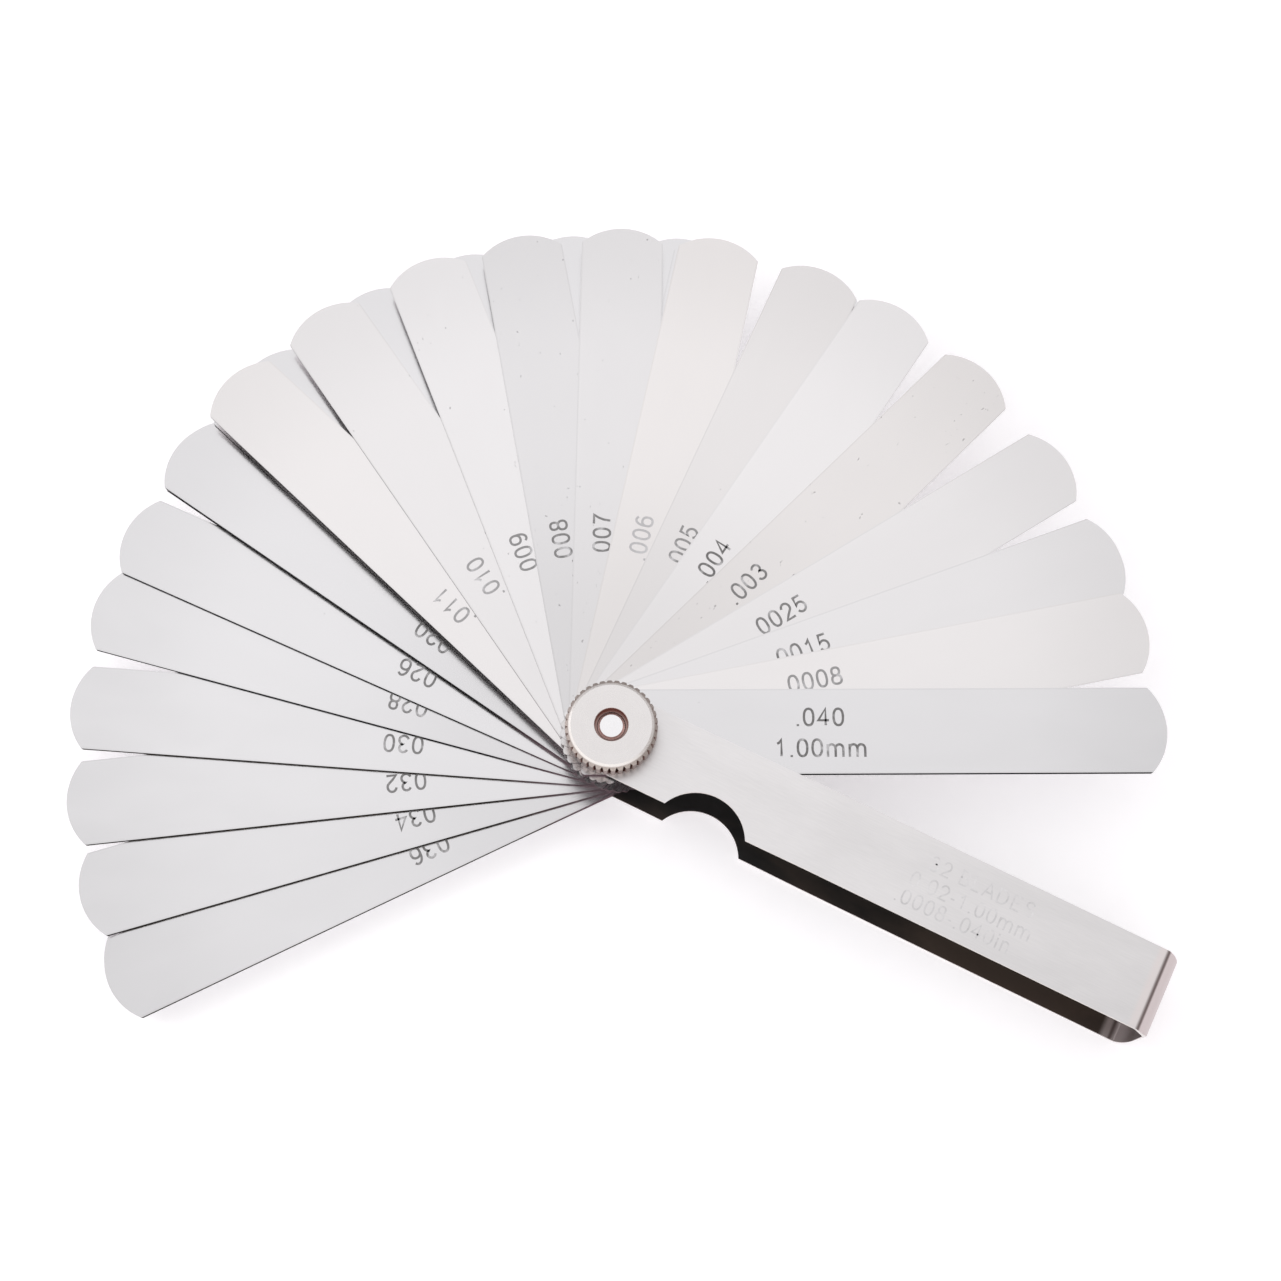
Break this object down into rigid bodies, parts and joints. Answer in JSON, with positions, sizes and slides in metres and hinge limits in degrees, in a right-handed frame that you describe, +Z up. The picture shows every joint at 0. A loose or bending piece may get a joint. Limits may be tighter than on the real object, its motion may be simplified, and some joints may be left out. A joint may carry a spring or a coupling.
{
  "type": "feeler gauge",
  "caption": "Steel feeler gauge: a fan of thin thickness blades on a knurled clamping nut, folding into a bent sheet-steel holder with a finger notch.",
  "frame": {"origin": "centre of the pivot screw's flat head, level with the holder's back face, on which the tool lies", "axes": "+Z up along the pivot axis towards the thumb nut, +X along the holder from the pivot to the bend"},
  "size_m": [0.1694, 0.1475, 0.0204],
  "materials": {
    "blade_steel": "satin",
    "holder_steel": "satin",
    "nut_nickel": "polished",
    "screw_steel": "polished",
    "washer_steel": "satin"
  },
  "bodies": {
    "holder": {"holder": "holder_steel", "pivot_screw": "screw_steel"},
    "washer": {"washer": "washer_steel"},
    "thumb_nut": {"thumb_nut": "nut_nickel"},
    "blade_0400": {"blade_0400": "blade_steel"},
    "blade_0008": {"blade_0008": "blade_steel"},
    "blade_0015": {"blade_0015": "blade_steel"},
    "blade_0020": {"blade_0020": "blade_steel"},
    "blade_0025": {"blade_0025": "blade_steel"},
    "blade_0030": {"blade_0030": "blade_steel"},
    "blade_0040": {"blade_0040": "blade_steel"},
    "blade_0050": {"blade_0050": "blade_steel"},
    "blade_0060": {"blade_0060": "blade_steel"},
    "blade_0070": {"blade_0070": "blade_steel"},
    "blade_0080": {"blade_0080": "blade_steel"},
    "blade_0090": {"blade_0090": "blade_steel"},
    "blade_0100": {"blade_0100": "blade_steel"},
    "blade_0110": {"blade_0110": "blade_steel"},
    "blade_0120": {"blade_0120": "blade_steel"},
    "blade_0130": {"blade_0130": "blade_steel"},
    "blade_0140": {"blade_0140": "blade_steel"},
    "blade_0150": {"blade_0150": "blade_steel"},
    "blade_0160": {"blade_0160": "blade_steel"},
    "blade_0170": {"blade_0170": "blade_steel"},
    "blade_0180": {"blade_0180": "blade_steel"},
    "blade_0190": {"blade_0190": "blade_steel"},
    "blade_0200": {"blade_0200": "blade_steel"},
    "blade_0220": {"blade_0220": "blade_steel"},
    "blade_0240": {"blade_0240": "blade_steel"},
    "blade_0260": {"blade_0260": "blade_steel"},
    "blade_0280": {"blade_0280": "blade_steel"},
    "blade_0300": {"blade_0300": "blade_steel"},
    "blade_0320": {"blade_0320": "blade_steel"},
    "blade_0340": {"blade_0340": "blade_steel"},
    "blade_0360": {"blade_0360": "blade_steel"},
    "blade_0380": {"blade_0380": "blade_steel"}
  },
  "joints": [
    {"name": "blade_0400_swing", "type": "hinge", "parent": "holder", "child": "blade_0400", "pos_m": [0, 0, 0.009], "axis": [0, 0, 1], "range_deg": [-26.5, 333.5]},
    {"name": "blade_0008_swing", "type": "hinge", "parent": "holder", "child": "blade_0008", "pos_m": [0, 0, 0.009], "axis": [0, 0, 1], "range_deg": [-37.5, 322.5]},
    {"name": "blade_0015_swing", "type": "hinge", "parent": "holder", "child": "blade_0015", "pos_m": [0, 0, 0.009], "axis": [0, 0, 1], "range_deg": [-46.5, 313.5]},
    {"name": "blade_0020_swing", "type": "hinge", "parent": "holder", "child": "blade_0020", "pos_m": [0, 0, 0.009], "axis": [0, 0, 1], "range_deg": [-46, 314]},
    {"name": "blade_0025_swing", "type": "hinge", "parent": "holder", "child": "blade_0025", "pos_m": [0, 0, 0.009], "axis": [0, 0, 1], "range_deg": [-58, 302]},
    {"name": "blade_0030_swing", "type": "hinge", "parent": "holder", "child": "blade_0030", "pos_m": [0, 0, 0.009], "axis": [0, 0, 1], "range_deg": [-71, 289]},
    {"name": "blade_0040_swing", "type": "hinge", "parent": "holder", "child": "blade_0040", "pos_m": [0, 0, 0.009], "axis": [0, 0, 1], "range_deg": [-82.5, 277.5]},
    {"name": "blade_0050_swing", "type": "hinge", "parent": "holder", "child": "blade_0050", "pos_m": [0, 0, 0.009], "axis": [0, 0, 1], "range_deg": [-92, 268]},
    {"name": "blade_0060_swing", "type": "hinge", "parent": "holder", "child": "blade_0060", "pos_m": [0, 0, 0.009], "axis": [0, 0, 1], "range_deg": [-104, 256]},
    {"name": "blade_0070_swing", "type": "hinge", "parent": "holder", "child": "blade_0070", "pos_m": [0, 0, 0.009], "axis": [0, 0, 1], "range_deg": [-115, 245]},
    {"name": "blade_0080_swing", "type": "hinge", "parent": "holder", "child": "blade_0080", "pos_m": [0, 0, 0.009], "axis": [0, 0, 1], "range_deg": [-126.5, 233.5]},
    {"name": "blade_0090_swing", "type": "hinge", "parent": "holder", "child": "blade_0090", "pos_m": [0, 0, 0.009], "axis": [0, 0, 1], "range_deg": [-137.5, 222.5]},
    {"name": "blade_0100_swing", "type": "hinge", "parent": "holder", "child": "blade_0100", "pos_m": [0, 0, 0.009], "axis": [0, 0, 1], "range_deg": [-150.5, 209.5]},
    {"name": "blade_0110_swing", "type": "hinge", "parent": "holder", "child": "blade_0110", "pos_m": [0, 0, 0.009], "axis": [0, 0, 1], "range_deg": [-162.5, 197.5]},
    {"name": "blade_0120_swing", "type": "hinge", "parent": "holder", "child": "blade_0120", "pos_m": [0, 0, 0.009], "axis": [0, 0, 1], "range_deg": [-91.5, 268.5]},
    {"name": "blade_0130_swing", "type": "hinge", "parent": "holder", "child": "blade_0130", "pos_m": [0, 0, 0.009], "axis": [0, 0, 1], "range_deg": [-104.5, 255.5]},
    {"name": "blade_0140_swing", "type": "hinge", "parent": "holder", "child": "blade_0140", "pos_m": [0, 0, 0.009], "axis": [0, 0, 1], "range_deg": [-108, 252]},
    {"name": "blade_0150_swing", "type": "hinge", "parent": "holder", "child": "blade_0150", "pos_m": [0, 0, 0.009], "axis": [0, 0, 1], "range_deg": [-121, 239]},
    {"name": "blade_0160_swing", "type": "hinge", "parent": "holder", "child": "blade_0160", "pos_m": [0, 0, 0.009], "axis": [0, 0, 1], "range_deg": [-133.5, 226.5]},
    {"name": "blade_0170_swing", "type": "hinge", "parent": "holder", "child": "blade_0170", "pos_m": [0, 0, 0.009], "axis": [0, 0, 1], "range_deg": [-145, 215]},
    {"name": "blade_0180_swing", "type": "hinge", "parent": "holder", "child": "blade_0180", "pos_m": [0, 0, 0.009], "axis": [0, 0, 1], "range_deg": [-159, 201]},
    {"name": "blade_0190_swing", "type": "hinge", "parent": "holder", "child": "blade_0190", "pos_m": [0, 0, 0.009], "axis": [0, 0, 1], "range_deg": [-162.5, 197.5]},
    {"name": "blade_0200_swing", "type": "hinge", "parent": "holder", "child": "blade_0200", "pos_m": [0, 0, 0.009], "axis": [0, 0, 1], "range_deg": [-171.5, 188.5]},
    {"name": "blade_0220_swing", "type": "hinge", "parent": "holder", "child": "blade_0220", "pos_m": [0, 0, 0.009], "axis": [0, 0, 1], "range_deg": [-171, 189]},
    {"name": "blade_0240_swing", "type": "hinge", "parent": "holder", "child": "blade_0240", "pos_m": [0, 0, 0.009], "axis": [0, 0, 1], "range_deg": [-171.5, 188.5]},
    {"name": "blade_0260_swing", "type": "hinge", "parent": "holder", "child": "blade_0260", "pos_m": [0, 0, 0.009], "axis": [0, 0, 1], "range_deg": [-182, 178]},
    {"name": "blade_0280_swing", "type": "hinge", "parent": "holder", "child": "blade_0280", "pos_m": [0, 0, 0.009], "axis": [0, 0, 1], "range_deg": [-191, 169]},
    {"name": "blade_0300_swing", "type": "hinge", "parent": "holder", "child": "blade_0300", "pos_m": [0, 0, 0.009], "axis": [0, 0, 1], "range_deg": [-202, 158]},
    {"name": "blade_0320_swing", "type": "hinge", "parent": "holder", "child": "blade_0320", "pos_m": [0, 0, 0.009], "axis": [0, 0, 1], "range_deg": [-212.5, 147.5]},
    {"name": "blade_0340_swing", "type": "hinge", "parent": "holder", "child": "blade_0340", "pos_m": [0, 0, 0.009], "axis": [0, 0, 1], "range_deg": [-222.5, 137.5]},
    {"name": "blade_0360_swing", "type": "hinge", "parent": "holder", "child": "blade_0360", "pos_m": [0, 0, 0.009], "axis": [0, 0, 1], "range_deg": [-232, 128]},
    {"name": "blade_0380_swing", "type": "hinge", "parent": "holder", "child": "blade_0380", "pos_m": [0, 0, 0.009], "axis": [0, 0, 1], "range_deg": [-231.5, 128.5]},
    {"name": "nut_spin", "type": "hinge", "parent": "washer", "child": "thumb_nut", "pos_m": [0, 0, 0.018], "axis": [0, 0, 1], "range_deg": [0, 360]},
    {"name": "washer_lift", "type": "slide", "parent": "holder", "child": "washer", "axis": [0, 0, 1], "range_m": [0, 0.0007]}
  ],
  "couplings": [
    {"joint": "nut_spin", "follows": "washer_lift", "rad_per_m": 8975.9}
  ]
}
